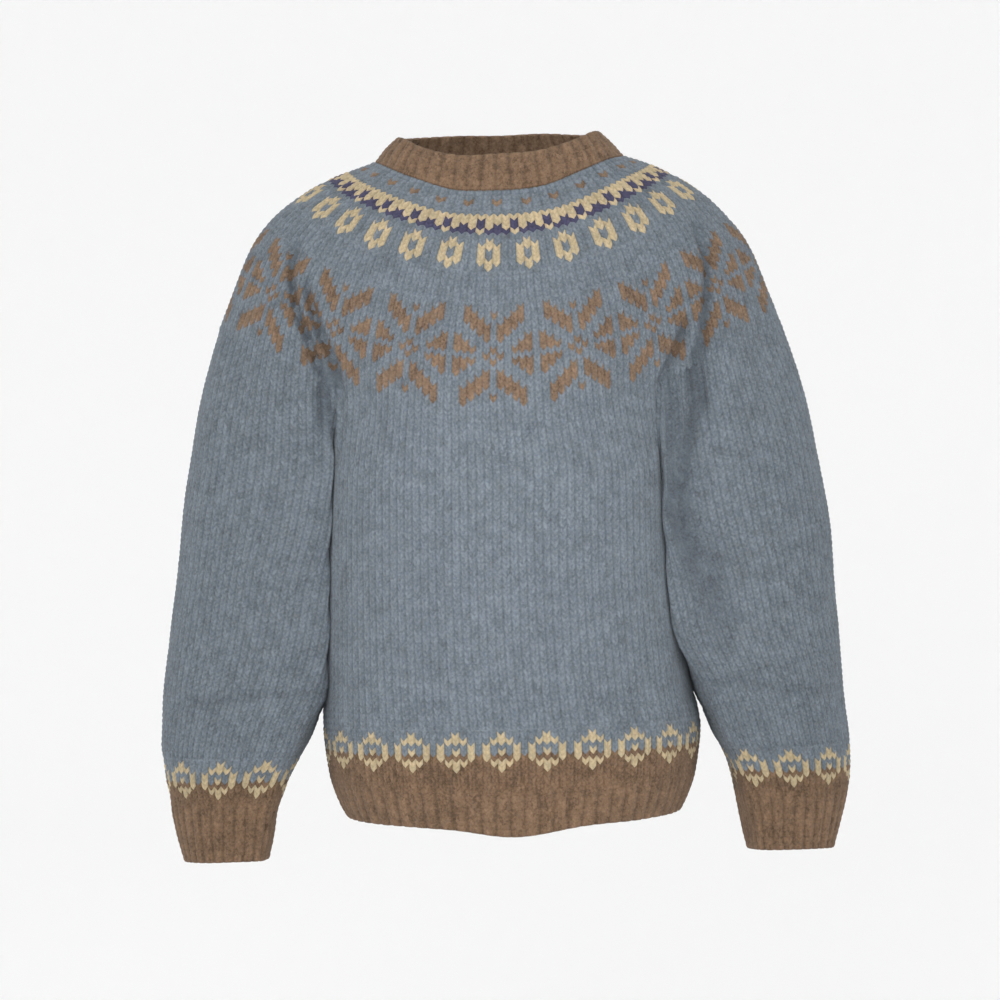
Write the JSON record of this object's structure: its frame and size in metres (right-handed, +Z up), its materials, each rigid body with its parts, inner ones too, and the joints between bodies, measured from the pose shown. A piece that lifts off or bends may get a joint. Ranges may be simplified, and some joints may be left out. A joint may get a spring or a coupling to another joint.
{
  "type": "nordic yoke sweater",
  "caption": "Round-yoke pullover knitted in blue-grey wool, with brown stars, a cream petal and zigzag band, flower borders and brown ribbed collar, hem and cuffs.",
  "frame": {"origin": "centre of the neck opening, level with the foot of the collar at its sides", "axes": "+Z up along the wearer, -Y the front, +X the side of sleeve_right"},
  "size_m": [0.6475, 0.2675, 0.6944],
  "materials": {
    "blue_wool": "matte",
    "brown_wool": "matte"
  },
  "bodies": {
    "root": {"collar": "brown_wool", "yoke": "blue_wool", "body": "blue_wool", "hem_band": "brown_wool", "sleeve_left": "blue_wool", "sleeve_right": "blue_wool", "cuff_left": "brown_wool", "cuff_right": "brown_wool"}
  },
  "joints": []
}
